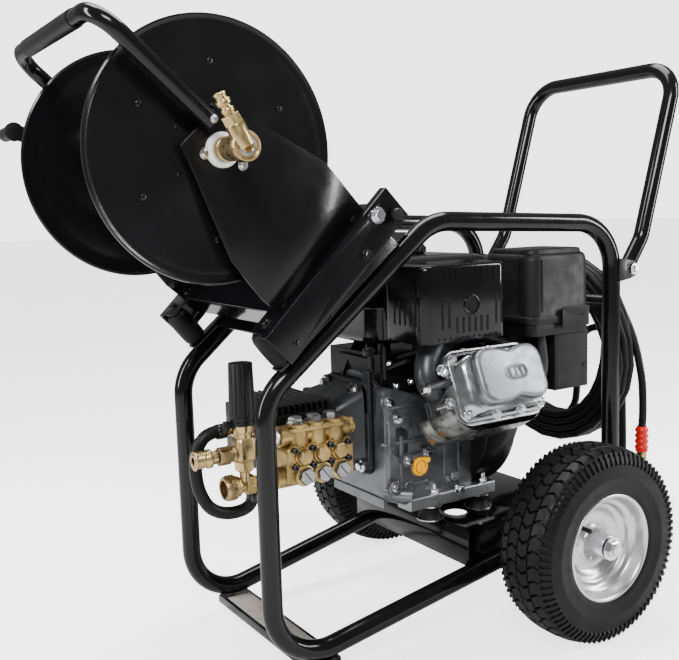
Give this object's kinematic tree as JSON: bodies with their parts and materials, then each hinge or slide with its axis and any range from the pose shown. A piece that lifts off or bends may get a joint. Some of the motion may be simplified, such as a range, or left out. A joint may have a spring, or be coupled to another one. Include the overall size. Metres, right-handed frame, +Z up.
{
  "type": "pressure washer pump unit",
  "caption": "Wheeled pressure washer pump set: triplex plunger pump on a geared engine in a tube frame, with a tilting hose reel, fold handle and hung hose.",
  "frame": {"origin": "middle of the footprint box of everything but the hung hose, on the ground", "axes": "+X from the pump and hose reel to the push handle, +Y to the crank side of the reel, +Z up"},
  "size_m": [1.1411, 0.72, 0.9919],
  "materials": {
    "frame_black": "gloss black powder coat with a light orange peel",
    "dark_steel": "satin black",
    "zinc_bolts": "zinc plated",
    "tyre_rubber": "dusty black rubber",
    "rim_silver": "silver paint",
    "bushing_white": "off-white nylon",
    "grip_plastic": "black grip",
    "brass": "machined brass",
    "forged_brass": "forged, satin",
    "mount_rubber": "black rubber",
    "cast_grey": "cast grey, painted",
    "cast_silver": "die cast",
    "cover_silver": "bright satin",
    "machined_steel": "machined",
    "flywheel_iron": "cast",
    "engine_black": "gloss black",
    "filter_plastic": "satin dark grey",
    "oil_yellow": "yellow",
    "gear_grey": "dark grey cast",
    "pump_black": "black painted casting",
    "plunger_ceramic": "polished",
    "black_oxide": "black oxide",
    "knob_black": "black",
    "hose_rubber": "satin black",
    "sleeve_red": "red"
  },
  "bodies": {
    "frame": {"left_frame_loop": "frame_black", "right_frame_loop": "frame_black", "cross_foot": "frame_black", "engine_deck": "frame_black", "axle": "zinc_bolts", "frame_bolts": "zinc_bolts", "reel_platform": "frame_black", "rear_crossbar": "dark_steel", "rubber_mounts": "mount_rubber", "engine_crankcase": "cast_grey", "engine_cylinder": "cast_silver", "valve_cover": "cover_silver", "fan_shroud": "engine_black", "muffler_guard": "engine_black", "air_filter_base": "filter_plastic", "fuel_tank": "engine_black", "reducer_housing": "gear_grey", "pump_crankcase": "pump_black", "pump_manifold": "forged_brass", "valve_caps": "zinc_bolts", "manifold_bolts": "black_oxide", "unloader_body": "brass", "outlet_coupler": "brass", "bypass_hose": "hose_rubber", "hose_coil": "hose_rubber", "hose_tails": "hose_rubber", "hose_sleeves": "sleeve_red", "hose_fittings": "brass"},
    "left_wheel": {"left_tyre": "tyre_rubber", "left_rim": "rim_silver"},
    "right_wheel": {"right_tyre": "tyre_rubber", "right_rim": "rim_silver"},
    "handle": {"push_handle": "frame_black"},
    "reel_frame": {"reel_base": "frame_black", "left_side_plate": "frame_black", "right_side_plate": "frame_black", "carry_handle": "frame_black", "reel_bushings": "bushing_white"},
    "reel": {"reel_drum": "frame_black", "left_flange": "frame_black", "right_flange": "frame_black", "reel_crank": "dark_steel"},
    "crank_grip": {"crank_grip": "grip_plastic"},
    "swivel": {"reel_swivel": "brass"},
    "engine_rotor": {"engine_crankshaft": "machined_steel", "flywheel": "flywheel_iron"},
    "pump_rotor": {"pump_crankshaft": "machined_steel", "reducer_gear": "machined_steel"},
    "plunger_1": {"plunger_1": "plunger_ceramic"},
    "plunger_2": {"plunger_2": "plunger_ceramic"},
    "plunger_3": {"plunger_3": "plunger_ceramic"},
    "unloader_knob": {"unloader_knob": "knob_black"},
    "coupler_sleeve": {"coupler_sleeve": "brass"},
    "inlet_nut": {"inlet_nut": "brass"},
    "recoil_grip": {"recoil_grip": "grip_plastic"},
    "filter_cover": {"air_filter_cover": "filter_plastic"},
    "filter_latch": {"air_filter_latch": "filter_plastic"},
    "fuel_cap": {"fuel_cap": "filter_plastic"},
    "oil_cap": {"oil_cap": "oil_yellow"},
    "throttle_lever": {"throttle_lever": "dark_steel"}
  },
  "joints": [
    {"name": "left_wheel_spin", "type": "hinge", "parent": "frame", "child": "left_wheel", "pos_m": [0.208, -0.298, 0.165], "axis": [0, 1, 0], "continuous": true},
    {"name": "right_wheel_spin", "type": "hinge", "parent": "frame", "child": "right_wheel", "pos_m": [0.208, 0.298, 0.165], "axis": [0, 1, 0], "continuous": true},
    {"name": "handle_fold", "type": "hinge", "parent": "frame", "child": "handle", "pos_m": [0.425, 0, 0.601], "axis": [0, 1, 0], "range_deg": [0, 60]},
    {"name": "reel_tilt", "type": "hinge", "parent": "frame", "child": "reel_frame", "pos_m": [-0.13622, 0, 0.71355], "axis": [0, 1, 0], "range_deg": [0, 55]},
    {"name": "reel_spin", "type": "hinge", "parent": "reel_frame", "child": "reel", "pos_m": [-0.376, 0, 0.808], "axis": [0, 1, 0], "continuous": true},
    {"name": "crank_grip_spin", "type": "hinge", "parent": "reel", "child": "crank_grip", "pos_m": [-0.553, 0.243, 0.862], "axis": [0, 1, 0], "continuous": true},
    {"name": "swivel_turn", "type": "hinge", "parent": "reel_frame", "child": "swivel", "pos_m": [-0.376, -0.23, 0.808], "axis": [0, 1, 0], "continuous": true},
    {"name": "engine_turn", "type": "hinge", "parent": "frame", "child": "engine_rotor", "pos_m": [0.087, 0, 0.346], "axis": [1, 0, 0], "continuous": true},
    {"name": "pump_turn", "type": "hinge", "parent": "frame", "child": "pump_rotor", "pos_m": [-0.183, 0.0725, 0.346], "axis": [1, 0, 0], "continuous": true},
    {"name": "plunger_1_stroke", "type": "slide", "parent": "frame", "child": "plunger_1", "axis": [0, 1, 0], "range_m": [-0.014, 0]},
    {"name": "plunger_2_stroke", "type": "slide", "parent": "frame", "child": "plunger_2", "axis": [0, 1, 0], "range_m": [-0.0035, 0.0105]},
    {"name": "plunger_3_stroke", "type": "slide", "parent": "frame", "child": "plunger_3", "axis": [0, 1, 0], "range_m": [-0.0035, 0.0105]},
    {"name": "unloader_turn", "type": "hinge", "parent": "frame", "child": "unloader_knob", "pos_m": [-0.318, -0.088, 0.455], "axis": [0, 0, 1], "range_deg": [-720, 720]},
    {"name": "coupler_slide", "type": "slide", "parent": "frame", "child": "coupler_sleeve", "axis": [1, 0, 0], "range_m": [0, 0.006], "stiffness_N_per_m": 1500, "springref_m": -0.002},
    {"name": "inlet_nut_spin", "type": "hinge", "parent": "frame", "child": "inlet_nut", "pos_m": [-0.338, -0.08, 0.306], "axis": [1, 0, 0], "continuous": true},
    {"name": "recoil_pull", "type": "slide", "parent": "frame", "child": "recoil_grip", "axis": [1, 0, 0], "range_m": [0, 0.45], "stiffness_N_per_m": 20, "springref_m": -0.4},
    {"name": "filter_cover_slide", "type": "slide", "parent": "frame", "child": "filter_cover", "axis": [0, -1, 0], "range_m": [0, 0.1]},
    {"name": "latch_flip", "type": "hinge", "parent": "filter_cover", "child": "filter_latch", "pos_m": [0.267, -0.2102, 0.545], "axis": [1, 0, 0], "range_deg": [-70, 0]},
    {"name": "fuel_cap_turn", "type": "hinge", "parent": "frame", "child": "fuel_cap", "pos_m": [0.117, 0.07, 0.645], "axis": [0, 0, 1], "range_deg": [0, 90]},
    {"name": "oil_cap_turn", "type": "hinge", "parent": "frame", "child": "oil_cap", "pos_m": [0.007, -0.098, 0.283], "axis": [0, 1, 0], "range_deg": [0, 720]},
    {"name": "throttle_move", "type": "hinge", "parent": "frame", "child": "throttle_lever", "pos_m": [-0.067, -0.064, 0.446], "axis": [1, 0, 0], "range_deg": [-25, 25]}
  ],
  "couplings": [
    {"joint": "pump_turn", "follows": "engine_turn", "ratio": -0.45}
  ]
}
